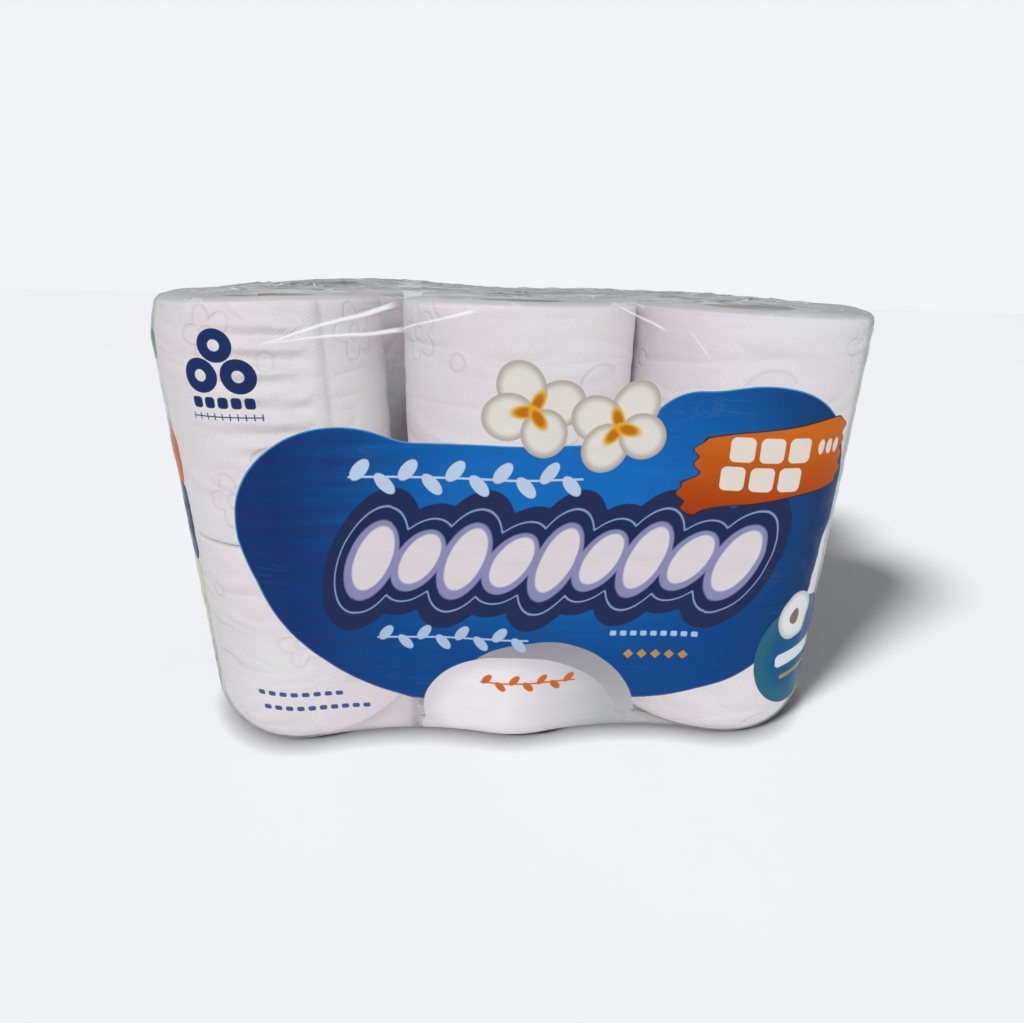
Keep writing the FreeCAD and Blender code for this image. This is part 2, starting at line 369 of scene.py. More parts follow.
def side_dent(seed, turn, placed, z):
    """How far the side of a roll stands off its true round: soft dents, and the pulled end of the sheet."""
    dent = -0.5 * abs(wrinkle(seed, turn / 12, z, 9.0))
    dent -= 0.35 * abs(wrinkle(turn / 5, seed, z, 14.0))
    # Level puckers before the sheet end, then a smooth glued band that stands a little proud
    near = smooth(300, 325, placed) * (1 - smooth(346, 351, placed))
    body = smooth(4, 16, z) * (1 - smooth(ROLL_HEIGHT - 12, ROLL_HEIGHT - 3, z))
    ripple = math.sin(2 * math.pi * z / PUCKER_PITCH + placed / 40 + 0.8 * math.sin(z / 17))
    return dent + near * body * (PUCKER_DEPTH * ripple - 0.3) + BAND_RISE * smooth(349, 353, placed)


def end_wave(radius, placed, z, share):
    """How deep the wound rings lie in the ends of a roll."""
    spiral = math.sin((radius - CORE_BORE) * 2 * math.pi / RING_PITCH + math.radians(placed))
    wave = -RING_DEPTH * (1 + spiral) * smooth(0.02, 0.1, share) * (1 - smooth(0.85, 0.95, share))
    return -wave if z < ROLL_HEIGHT / 2 else wave


def paper_roll_mesh(column, row, layer, tail_angle):
    """Wound roll: its profile is spun round the core, then squeezed, leaned and dented."""
    roll = bmesh.new()
    corners = [roll.verts.new((r, 0, z)) for r, z in roll_profile()]
    edges = [roll.edges.new(pair) for pair in zip(corners, corners[1:] + corners[:1])]
    bmesh.ops.spin(roll, geom=corners + edges, cent=(0, 0, 0), axis=(0, 0, 1), angle=2 * math.pi,
                   steps=TURNS_ROUND, use_merge=True)
    bmesh.ops.remove_doubles(roll, verts=roll.verts, dist=0.001)
    bmesh.ops.recalc_face_normals(roll, faces=roll.faces)
    base = LAYER_Z[layer]
    seed = 7.0 * COLUMNS.index(column) + 31.0 * ROWS.index(row) + 57.0 * LAYERS.index(layer)
    paper_map = roll.loops.layers.uv.new("paper")
    turns = {}
    for corner in roll.verts:
        turn = math.degrees(math.atan2(corner.co.y, corner.co.x)) % 360
        if turn > 359.9:
            turn = 0.0
        turns[corner] = (turn, corner.co.xy.length, corner.co.z)
    for face in roll.faces:
        wrap = max(turns[loop.vert][0] for loop in face.loops) > 300
        for loop in face.loops:
            turn, radius, z = turns[loop.vert]
            if wrap and turn < 60:
                turn += 360
            loop[paper_map].uv = (math.radians(turn) * HALF_DEPTH * MM, (z + HALF_DEPTH - radius) * MM)
    last = 360 - 360 / TURNS_ROUND
    for corner, (turn, radius, z) in turns.items():
        # The last column of corners comes close to the first, which makes the step at the sheet end
        placed = 359.4 if turn > last - 0.5 else turn
        share = (radius - CORE_BORE) / (HALF_DEPTH - CORE_BORE)
        grow = TAIL_STEP * (placed / 360 - 1) * share
        up = base + z
        if radius > HALF_DEPTH - 0.5:
            grow += side_dent(seed, turn, placed, z) * smooth(0.8, 1.0, share)
        else:
            up += end_wave(radius, placed, z, share)
        angle = math.radians(placed + tail_angle)
        squeeze = CORE_BORE + (SPANS[column] / 2 - CORE_BORE) * share
        corner.co = settled((column_x(column, up) + (squeeze + grow) * math.cos(angle),
                             ROW_Y[row] + (radius + grow) * math.sin(angle), up)) * MM
    if roll.calc_volume(signed=True) < 0:
        bmesh.ops.reverse_faces(roll, faces=roll.faces)
    return roll


# Materials
def linear(code):
    """sRGB hex colour as the linear colour that a shader takes."""
    channels = [int(code[i:i + 2], 16) / 255 for i in (1, 3, 5)]
    return tuple([c / 12.92 if c <= 0.04045 else ((c + 0.055) / 1.055) ** 2.4 for c in channels] + [1.0])


def add(tree, kind, values=None, **settings):
    """Adds a node: settings are its own, and values go to its inputs, as a link or a constant."""
    node = tree.nodes.new(kind)
    for name, setting in settings.items():
        setattr(node, name, setting)
    for key, value in (values or {}).items():
        if isinstance(value, bpy.types.NodeSocket):
            tree.links.new(value, node.inputs[key])
        else:
            node.inputs[key].default_value = value
    return node


def new_material(name):
    material = bpy.data.materials.new(name)
    material.use_nodes = True
    material.node_tree.nodes.clear()
    return material, material.node_tree


def calc(tree, operation, *values, clamp=False):
    """One step of arithmetic."""
    numbers = dict(enumerate(values))
    return add(tree, "ShaderNodeMath", numbers, operation=operation, use_clamp=clamp).outputs[0]


def ramp_step(tree, value, edge, width):
    """1 where the value is under the edge, 0 above it, with a thin soft line between."""
    steps = {"Value": value, "From Min": edge - width, "From Max": edge + width, "To Min": 1.0, "To Max": 0.0}
    return add(tree, "ShaderNodeMapRange", steps, interpolation_type="SMOOTHSTEP", clamp=True).outputs[0]


def blend(tree, share, first, second):
    """Colour mix from the first to the second by the share."""
    mix = add(tree, "ShaderNodeMix", {"Factor": share}, data_type="RGBA")
    for index, colour in ((6, first), (7, second)):
        if isinstance(colour, bpy.types.NodeSocket):
            tree.links.new(colour, mix.inputs[index])
        else:
            mix.inputs[index].default_value = linear(colour)
    return mix.outputs[2]


def turned(tree, u, v, x, y, degrees):
    """Place relative to (x, y), in millimetres, turned by the angle."""
    dx = calc(tree, "SUBTRACT", u, x)
    dy = calc(tree, "SUBTRACT", v, y)
    if not degrees:
        return dx, dy
    c, s = math.cos(math.radians(degrees)), math.sin(math.radians(degrees))
    along = calc(tree, "ADD", calc(tree, "MULTIPLY", dx, c), calc(tree, "MULTIPLY", dy, s))
    across = calc(tree, "SUBTRACT", calc(tree, "MULTIPLY", dy, c), calc(tree, "MULTIPLY", dx, s))
    return along, across


def apart(tree, dx, dy):
    """Length of a step of dx along and dy across."""
    squares = calc(tree, "ADD", calc(tree, "MULTIPLY", dx, dx), calc(tree, "MULTIPLY", dy, dy))
    return calc(tree, "SQRT", squares)


def oval(tree, u, v, x, y, rx, ry, degrees=0):
    """Signed distance to an oval, about right near its edge."""
    along, across = turned(tree, u, v, x, y, degrees)
    size = apart(tree, calc(tree, "DIVIDE", along, rx), calc(tree, "DIVIDE", across, ry))
    return calc(tree, "MULTIPLY", calc(tree, "SUBTRACT", size, 1.0), min(rx, ry))


def bar(tree, u, v, x, y, half_x, half_y, radius, degrees=0):
    """Signed distance to a rounded bar."""
    along, across = turned(tree, u, v, x, y, degrees)
    past_x = calc(tree, "SUBTRACT", calc(tree, "ABSOLUTE", along), half_x - radius)
    past_y = calc(tree, "SUBTRACT", calc(tree, "ABSOLUTE", across), half_y - radius)
    size = apart(tree, calc(tree, "MAXIMUM", past_x, 0.0), calc(tree, "MAXIMUM", past_y, 0.0))
    return calc(tree, "SUBTRACT", size, radius)


def joined(tree, shapes, soft):
    """Union of shapes, with a soft join."""
    total = shapes[0]
    for shape in shapes[1:]:
        total = calc(tree, "SMOOTH_MIN", total, shape, soft)
    return total


def row_places(tree, u, first, pitch, count, step=0):
    """Distance along to the nearest of a row's places, or to the one step further, and 1 or -1 in turn."""
    number = calc(tree, "ROUND", calc(tree, "DIVIDE", calc(tree, "SUBTRACT", u, first), pitch))
    number = calc(tree, "MINIMUM", calc(tree, "MAXIMUM", calc(tree, "ADD", number, step), 0.0), count - 1.0)
    off = calc(tree, "SUBTRACT", u, calc(tree, "ADD", calc(tree, "MULTIPLY", number, pitch), first))
    odd = calc(tree, "MODULO", number, 2.0)
    return off, calc(tree, "SUBTRACT", 1.0, calc(tree, "MULTIPLY", odd, 2.0))


def leaf_row(tree, u, v, first, pitch, count, y, long, wide, slant):
    """Leaves in a row, which lean up and down in turn from a thin stalk."""
    off, turn = row_places(tree, u, first, pitch, count)
    up = calc(tree, "MULTIPLY", calc(tree, "SUBTRACT", v, y), turn)
    leaf = oval(tree, off, up, 0.0, long * 0.55, long, wide, slant)
    stalk = bar(tree, u, v, first + pitch * (count - 1) / 2, y, pitch * count / 2, 0.45, 0.4)
    return calc(tree, "MINIMUM", leaf, stalk)


def crease_line(tree, u, v, start, end, thin, thick):
    """Signed distance to a fold that widens from its start to its end."""
    length = math.hypot(end[0] - start[0], end[1] - start[1])
    angle = math.degrees(math.atan2(end[1] - start[1], end[0] - start[0]))
    along, across = turned(tree, u, v, start[0], start[1], angle)
    share = calc(tree, "MULTIPLY", along, 1 / length, clamp=True)
    half = calc(tree, "ADD", calc(tree, "MULTIPLY", share, thick - thin), thin)
    past = calc(tree, "ABSOLUTE", calc(tree, "SUBTRACT", along, length / 2))
    past = calc(tree, "SUBTRACT", past, length / 2)
    beside = calc(tree, "SUBTRACT", calc(tree, "ABSOLUTE", across), half)
    # Past its ends the distance grows slowly, so that the fold fades out
    return calc(tree, "MAXIMUM", beside, calc(tree, "MULTIPLY", past, 0.12))


def away(x, y, reach, degrees):
    """Place at some reach from (x, y), in the given direction."""
    return x + reach * math.cos(math.radians(degrees)), y + reach * math.sin(math.radians(degrees))


def shaded(tree, distance, deep, inner, outer):
    """Colour of a printed shape that turns from its inner to its outer colour at the edge."""
    steps = {"Value": distance, "From Min": -deep, "From Max": -0.2, "To Min": 0.0, "To Max": 1.0}
    share = add(tree, "ShaderNodeMapRange", steps, interpolation_type="SMOOTHSTEP").outputs[0]
    return blend(tree, share, inner, outer)


def grown(tree, shape, width):
    """The shape made larger all round by the width, or smaller by a negative one."""
    return calc(tree, "SUBTRACT", shape, width)


def share_of(tree, value, start, span):
    """0 at the start, 1 at a span further on, and straight between. A span below 0 goes the other way."""
    return calc(tree, "MULTIPLY", calc(tree, "SUBTRACT", value, start), 1 / span, clamp=True)


# The print: each function gives its shapes in the order in which they are laid, with the ink of each.
# Places are (round, up) in mm, from the middle of the front and from the base.
def blue_field(tree, place, u, v):
    """Soft overlapping ovals, bright at the top middle and deep towards their ends."""
    field = joined(tree, [bar(tree, u, v, 8, 97, 104, 49, 42), oval(tree, u, v, -74, 110, 44, 42, 12),
                          oval(tree, u, v, -50, 80, 70, 51, -38), oval(tree, u, v, 99, 124, 48, 47, -18),
                          oval(tree, u, v, 74, 79, 72, 51, 32), bar(tree, u, v, 84, 140, 36, 28.5, 24)], 5.0)
    cloudy = add(tree, "ShaderNodeTexNoise", {"Vector": place, "Scale": 24.0, "Detail": 3.0}).outputs[0]
    far = oval(tree, u, v, 22, 122, 132, 84)
    steps = {"Value": far, "From Min": -72.0, "From Max": 2.0, "To Min": 0.0, "To Max": 1.0}
    glow = add(tree, "ShaderNodeMapRange", steps, interpolation_type="SMOOTHSTEP").outputs[0]
    cloudy = calc(tree, "MULTIPLY", calc(tree, "SUBTRACT", cloudy, 0.5), 0.45)
    shade = calc(tree, "ADD", glow, cloudy, clamp=True)
    # Painted shade and sheen of level wrinkles: the ink is painted lighter and darker in long streaks, most
    # at the left
    stretch = {"Vector": place, "Rotation": (0, 0, 0.12), "Scale": (16.0, 210.0, 1.0)}
    stretch = add(tree, "ShaderNodeMapping", stretch).outputs[0]
    painted_wrinkle_streaks = {"Vector": stretch, "Scale": 1.0, "Detail": 2.0, "Distortion": 0.4}
    painted_wrinkle_streaks = add(tree, "ShaderNodeTexNoise", painted_wrinkle_streaks).outputs[0]
    leftness = share_of(tree, u, -20.0, -60)
    contrast = calc(tree, "ADD", calc(tree, "MULTIPLY", leftness, 0.55), 0.3)
    painted_wrinkle_streaks = calc(tree, "MULTIPLY", calc(tree, "SUBTRACT", painted_wrinkle_streaks, 0.5), contrast)
    shade = calc(tree, "ADD", shade, calc(tree, "MULTIPLY", leftness, 0.1))
    shade = calc(tree, "ADD", shade, painted_wrinkle_streaks, clamp=True)
    blue = blend(tree, shade, "#1266b2", "#0e4482")
    far_left = share_of(tree, u, -58.0, -42)
    blue = blend(tree, calc(tree, "MULTIPLY", far_left, 0.8), blue, "#142d63")
    far_right = share_of(tree, u, 86.0, 45)
    blue = blend(tree, calc(tree, "MULTIPLY", far_right, 0.85), blue, "#12305b")
    # Painted violet reflection in the darker streaks at the left
    painted_violet_reflection = calc(tree, "MULTIPLY", calc(tree, "MULTIPLY", painted_wrinkle_streaks, 1.8, clamp=True), leftness)
    blue = blend(tree, painted_violet_reflection, blue, "#2c2350")
    edge = blend(tree, ramp_step(tree, v, 75.0, 25.0), "#3585bf", "#5a4d92")
    yield field, blend(tree, ramp_step(tree, field, -0.6, 0.25), edge, blue)


def pearl_braid(tree, u, v):
    """Pearl strands in a scalloped navy plate with a thin pale line."""
    strands, cores = [], []
    for step in (-1, 0, 1):
        off, turn = row_places(tree, u, -64.0, 19.8, 9, step)
        # Every other strand is a little shorter
        squash = calc(tree, "SUBTRACT", 1.0, calc(tree, "MULTIPLY", turn, 0.11))
        up = calc(tree, "MULTIPLY", calc(tree, "SUBTRACT", v, 94.0), squash)
        strands.append(oval(tree, off, up, 0.0, 0.0, 18.0, 9.5, 60))
        cores.append(oval(tree, off, up, 0.7, 0.9, 15.8, 7.6, 60))
    rope = joined(tree, strands, 1.0)
    plate = joined(tree, [grown(tree, rope, 3.4), bar(tree, u, v, 15, 94, 86, 12, 12)], 5.0)
    yield grown(tree, plate, 4.2), "#202c50"
    yield plate, "#8299c2"
    yield grown(tree, plate, -0.45), "#1d294e"
    yield rope, shaded(tree, joined(tree, cores, 0.3), 0.9, "#d2ccd0", "#8485ad"), 0.35


def cotton_bolls(tree, u, v):
    """Two bolls at the top: four white puffs each, on amber leaves."""
    for x, y, turn in ((3, 160, 20), (39, 153, 62)):
        for i in range(4):
            heading = turn + 90 * i + (8 if i % 2 else -6)
            puff = oval(tree, u, v, *away(x, y, 10.2, heading), 11.6 - i * 0.5, 9.6, heading)
            yield puff, shaded(tree, puff, 3.6, "#d6d2cc", "#aba39a")
        for i in range(3):
            heading = turn + 45 + 120 * i
            leaf = oval(tree, u, v, *away(x, y, 3.6, heading), 5.6, 2.8, heading)
            yield leaf, shaded(tree, leaf, 1.6, "#b36a12", "#d6a52c"), 0.7


def block_sash(tree, u, v):
    """Orange sash with ragged ends, and small white blocks and dots on it."""
    cream = "#d8d0c6"
    sway = calc(tree, "MULTIPLY", calc(tree, "SINE", calc(tree, "MULTIPLY", v, 2 * math.pi / 6.5)), 1.2)
    ragged = calc(tree, "ADD", u, sway)
    sash = joined(tree, [bar(tree, ragged, v, 107, 139, 34, 15, 6, 9),
                         bar(tree, ragged, v, 80, 127, 13, 7.5, 3, 22)], 2.0)
    yield grown(tree, sash, 0.6), "#33262b"
    yield sash, blend(tree, share_of(tree, v, 118.0, 36), "#9e380d", "#c2641b")
    for y, first in ((132.5, 88.0), (145.0, 90.5)):
        off, _ = row_places(tree, u, first, 12.0, 3)
        yield bar(tree, off, v, 0, y, 5.0, 5.2, 2.4), cream
    off, _ = row_places(tree, u, 125.5, 4.8, 3)
    yield oval(tree, off, v, 0, 146, 1.8, 3.2), cream


def white_hill(tree, u, v):
    """White hill low in the middle, with a grey fold behind it and an orange leaf row on it."""
    fold = oval(tree, u, v, 13, 14, 46, 40, -24)
    hill = joined(tree, [oval(tree, u, v, 2, 14, 47, 33, -10), bar(tree, u, v, 4, -4, 50, 16, 4)], 2.0)
    fold = calc(tree, "MAXIMUM", fold, calc(tree, "SUBTRACT", 14.0, v))
    yield fold, blend(tree, calc(tree, "MULTIPLY", v, 1 / 55, clamp=True), "#b9b6b8", "#8d8d93")
    slope = share_of(tree, u, -6.0, 52)
    yield hill, blend(tree, slope, shaded(tree, hill, 9.0, "#e3dfe2", "#cfcbce"), "#adafb3")
    yield leaf_row(tree, u, v, -14.0, 6.4, 7, 33.5, 3.2, 1.7, 48), "#c4662c"


def small_rows(tree, u, v):
    """Pale leaf rows, a row of dashes and amber diamonds on the blue."""
    yield leaf_row(tree, u, v, -66.0, 9.6, 10, 131.5, 5.4, 2.8, 50), "#b3c3d8"
    yield leaf_row(tree, u, v, -60.0, 8.6, 8, 56.5, 4.4, 2.3, 50), "#a2b8d3"
    off, _ = row_places(tree, u, 44.0, 4.7, 9)
    yield bar(tree, off, v, 0, 57.5, 1.5, 1.3, 0.7), "#9db9dc"
    off, _ = row_places(tree, u, 52.0, 6.4, 5)
    yield bar(tree, off, v, 0, 46.5, 1.7, 1.7, 0.3, 45), "#b58448"


def measured_rolls(tree, u, v):
    """Three roll ends over a dashed line and a measuring line, and two dashed lines low on the left."""
    navy = "#1d2e5c"
    for x, y in ((-121.6, 171.5), (-106.6, 171.5), (-114.1, 183.0)):
        ring = oval(tree, u, v, x, y, 7.0, 6.6)
        bore = oval(tree, u, v, x, y, 2.3, 2.2)
        yield calc(tree, "MAXIMUM", ring, calc(tree, "MULTIPLY", bore, -1.0)), navy
    off, _ = row_places(tree, u, -124.6, 5.25, 5)
    yield bar(tree, off, v, 0, 161.4, 2.1, 2.2, 1.3), navy
    off, _ = row_places(tree, u, -127.5, 3.1, 10)
    measure = bar(tree, u, v, -113.5, 156.0, 14.4, 0.3, 0.2)
    yield calc(tree, "MINIMUM", bar(tree, off, v, 0, 156.0, 0.3, 1.4, 0.2), measure), navy
    for y, first, count in ((29.5, -119.0, 8), (22.0, -117.0, 10)):
        off, _ = row_places(tree, u, first, 5.0, count)
        slope = calc(tree, "ADD", v, calc(tree, "MULTIPLY", u, 0.06))
        yield bar(tree, off, slope, 0, y - 6.5, 1.7, 1.25, 0.9), "#43568a"


def roll_badge(tree, u, v):
    """Blue disc low on the right: a roll's end over two pale bars."""
    badge = oval(tree, u, v, 137, 45, 26, 29)
    yield badge, shaded(tree, grown(tree, badge, -1.0), 12.0, "#155280", "#2a6378")
    end = oval(tree, u, v, 131, 65, 10.5, 12.5)
    yield end, shaded(tree, end, 3.0, "#d9dcdb", "#b9c0c0")
    yield oval(tree, u, v, 130, 65, 2.9, 4.2), "#7b7056"
    yield bar(tree, u, v, 141, 43, 18, 3.6, 2.6, 5), "#cddadf"
    yield bar(tree, u, v, 142, 33, 14, 1.2, 1.0, 5), "#8f8a62"


def side_blocks(tree, raw_u, v):
    """Stacked blocks on the side panels, whose near ends show as slivers from the front."""
    side_middle = 237.5
    far_end = 64
    side = calc(tree, "WRAP", calc(tree, "ADD", raw_u, side_middle), AROUND / 4, -AROUND / 4)
    blocks = [(181, 89, 6.5, "#1c6b3c"), (135, 92, 12, "#bb5a16"), (106, 92, 18, "#152650"),
              (78, 89, 9, "#cfc99f"), (56, 87, 12, "#c3c8a6"), (37, 86, 5, "#35774b"), (21, 84, 8, "#152650")]
    for y, near, half_y, colour in blocks:
        yield bar(tree, side, v, (near - far_end) / 2, y, (near + far_end) / 2, half_y, 5), colour


def print_design(tree, place, raw_u, v):
    """Ink colour and cover of the whole print, laid shape by shape as the press lays it."""
    # The front's print comes once more on the back
    u = calc(tree, "WRAP", raw_u, AROUND / 4, -AROUND / 4)
    ink, cover = None, None
    for design in (blue_field(tree, place, u, v), pearl_braid(tree, u, v), cotton_bolls(tree, u, v),
                   block_sash(tree, u, v), white_hill(tree, u, v), small_rows(tree, u, v),
                   measured_rolls(tree, u, v), roll_badge(tree, u, v), side_blocks(tree, raw_u, v)):
        for shape, colour, *edge in design:
            mask = ramp_step(tree, shape, 0.0, edge[0] if edge else PRINT_EDGE)
            ink = colour if ink is None else blend(tree, mask, ink, colour)
            cover = mask if cover is None else calc(tree, "MAXIMUM", cover, mask)
    return ink, cover


def film_creases(tree, place, u, v):
    """Thin ridges in the film.

    Gives the share that is painted white (crease whitening and painted glints), the height for the bump in
    mm, the waves, and the top's and the base's share.
    """
    bend_mm = 1.1
    bend = {"Vector": place, "Scale": 30.0, "Detail": 2.0}
    bend = add(tree, "ShaderNodeTexNoise", bend, normalize=False).outputs[1]
    bend = add(tree, "ShaderNodeSeparateXYZ", {0: bend})
    bent_u = calc(tree, "ADD", u, calc(tree, "MULTIPLY", bend.outputs[0], bend_mm))
    bent_v = calc(tree, "ADD", v, calc(tree, "MULTIPLY", bend.outputs[1], bend_mm))
    stretch = {"Vector": place, "Rotation": (0, 0, 0.3), "Scale": (22.0, 95.0, 1.0)}
    stretch = add(tree, "ShaderNodeMapping", stretch).outputs[0]
    waves = {"Vector": stretch, "Scale": 1.0, "Detail": 3.0, "Roughness": 0.55, "Distortion": 0.6}
    waves = add(tree, "ShaderNodeTexNoise", waves).outputs[0]
    sharp = calc(tree, "ABSOLUTE", calc(tree, "SUBTRACT", waves, 0.5))
    ridge = ramp_step(tree, sharp, 0.010, 0.009)
    patches = add(tree, "ShaderNodeTexNoise", {"Vector": place, "Scale": 19.0, "Detail": 1.0}).outputs[0]
    patch = calc(tree, "SUBTRACT", 1.0, ramp_step(tree, patches, 0.60, 0.07))
    top_edge = calc(tree, "SUBTRACT", 1.0, ramp_step(tree, v, 199.5, 2.0))
    base_edge = ramp_step(tree, v, 9.0, 7.0)
    ends = calc(tree, "MAXIMUM", top_edge, base_edge)
    busy = calc(tree, "MAXIMUM", calc(tree, "MULTIPLY", patch, 0.4), ends)
    fine = calc(tree, "MULTIPLY", ridge, busy)
    folds = []
    for start, end, height, _ in LONG_CREASES:
        folds.append(crease_line(tree, bent_u, bent_v, start, end, 0.1, 0.85 * height ** 1.5))
    nearest = folds[0]
    for fold in folds[1:]:
        nearest = calc(tree, "MINIMUM", nearest, fold)
    fold = ramp_step(tree, nearest, 0.1, 0.45)
    # Between the two long creases the film stands off the rolls and dulls a little
    lens = bar(tree, bent_u, bent_v, -62, 190.5, 30, 2.0, 2.0, 14)
    lens = ramp_step(tree, lens, 0.0, 2.5)
    # Painted glints: the fine ridges are painted white, most on the top edge, and the long creases are
    # painted white as crease whitening and painted glint
    glint = calc(tree, "ADD", 0.42, calc(tree, "MULTIPLY", top_edge, 0.4))
    glint = calc(tree, "MULTIPLY", fine, glint)
    milk_and_glint = calc(tree, "MAXIMUM", glint, calc(tree, "MULTIPLY", fold, 0.75))
    milk_and_glint = calc(tree, "MAXIMUM", milk_and_glint, calc(tree, "MULTIPLY", lens, 0.10))
    rise = calc(tree, "ADD", waves, calc(tree, "MULTIPLY", calc(tree, "ADD", fine, fold), 0.25))
    return milk_and_glint, rise, waves, top_edge, base_edge


def printed_film():
    """Thin polyethylene film, printed inside: glossy ink, clear where paper shows, milky in its creases, with
    painted glints on its ridges.
    """
    material, tree = new_material("printed_polyethylene_film")
    place = add(tree, "ShaderNodeUVMap", uv_map="print").outputs[0]
    parts = add(tree, "ShaderNodeSeparateXYZ", {0: place})
    raw_u = calc(tree, "MULTIPLY", parts.outputs[0], 1 / MM)
    v = calc(tree, "MULTIPLY", parts.outputs[1], 1 / MM)
    ink, cover = print_design(tree, place, raw_u, v)
    milk_and_glint, rise, waves, top_edge, base_edge = film_creases(tree, place, raw_u, v)
    milk_and_glint = calc(tree, "MULTIPLY", milk_and_glint, calc(tree, "SUBTRACT", 1.0, calc(tree, "MULTIPLY", cover, 0.92)))
    bump = add(tree, "ShaderNodeBump", {"Height": rise, "Strength": 0.6, "Distance": 0.001}).outputs[0]
    # Clear parts are a faint mint haze; ink is nearly opaque, so the paper only dulls it a little
    mist = add(tree, "ShaderNodeTexNoise", {"Vector": place, "Scale": 15.0, "Detail": 1.0}).outputs[0]
    mist = calc(tree, "SUBTRACT", 1.0, ramp_step(tree, mist, 0.56, 0.1))
    mist = calc(tree, "MULTIPLY", mist, 0.16)
    haze = calc(tree, "ADD", calc(tree, "ADD", 0.04, mist), milk_and_glint, clamp=True)
    # Painted reflection and shade: the slack top is painted in light and dark grey-green streaks, and the
    # gathered base is painted greyer as painted shade
    painted_top_streak = calc(tree, "SUBTRACT", 1.0, ramp_step(tree, waves, 0.5, 0.17))
    clear = blend(tree, top_edge, "#e2ebe7", blend(tree, painted_top_streak, "#8d999c", "#e4eef0"))
    clear = blend(tree, base_edge, clear, "#bbb7ba")
    # Low between the left and the middle rolls the film hangs straight, dull and pinkish
    front_u = calc(tree, "WRAP", raw_u, AROUND / 4, -AROUND / 4)
    skirt = ramp_step(tree, bar(tree, front_u, v, -72, 8, 23, 24, 9, -4), 0.0, 4.0)
    clear = blend(tree, skirt, clear, "#d9d1d5")
    haze = calc(tree, "MAXIMUM", haze, calc(tree, "MULTIPLY", skirt, 0.72))
    # High at the right corner the film is painted grey and mint, as painted shade and reflection where it is
    # seen edge-on
    corner = ramp_step(tree, bar(tree, front_u, v, 154, 168, 12, 42, 8), 0.0, 7.0)
    clear = blend(tree, corner, clear, "#98a39c")
    haze = calc(tree, "MAXIMUM", haze, calc(tree, "MULTIPLY", corner, 0.55))
    haze = calc(tree, "MAXIMUM", haze, calc(tree, "MULTIPLY", top_edge, 0.24))
    haze = calc(tree, "MAXIMUM", haze, calc(tree, "MULTIPLY", base_edge, 0.45))
    body = blend(tree, cover, clear, ink)
    # Painted white where the creases whiten and where their glints are painted
    body = blend(tree, calc(tree, "MULTIPLY", milk_and_glint, 0.8), body, "#fbfafa")
    alpha = calc(tree, "MAXIMUM", calc(tree, "MULTIPLY", cover, 0.997), haze)
    printed = {"Base Color": body, "Alpha": alpha, "Roughness": 0.6, "Specular IOR Level": 0.0,
               "Normal": bump}
    printed = add(tree, "ShaderNodeBsdfPrincipled", printed).outputs[0]
    gloss = {"Color": linear("#f1f6f4"), "Roughness": 0.17, "Normal": bump}
    gloss = add(tree, "ShaderNodeBsdfGlossy", gloss).outputs[0]
    rim = add(tree, "ShaderNodeFresnel", {"IOR": 1.4, "Normal": bump}).outputs[0]
    shine = calc(tree, "MULTIPLY", calc(tree, "POWER", rim, 1.55), 0.85, clamp=True)
    film = add(tree, "ShaderNodeMixShader", {0: shine, 1: printed, 2: gloss}).outputs[0]
    # Lamps and the floor's light reach the paper through the film
    path = add(tree, "ShaderNodeLightPath")
    unseen = calc(tree, "MAXIMUM", path.outputs["Is Shadow Ray"], path.outputs["Is Diffuse Ray"])
    open_film = add(tree, "ShaderNodeBsdfTransparent", {"Color": linear("#f4f6f5")}).outputs[0]
    surface = add(tree, "ShaderNodeMixShader", {0: unseen, 1: film, 2: open_film}).outputs[0]
    add(tree, "ShaderNodeOutputMaterial", {"Surface": surface})
    return material


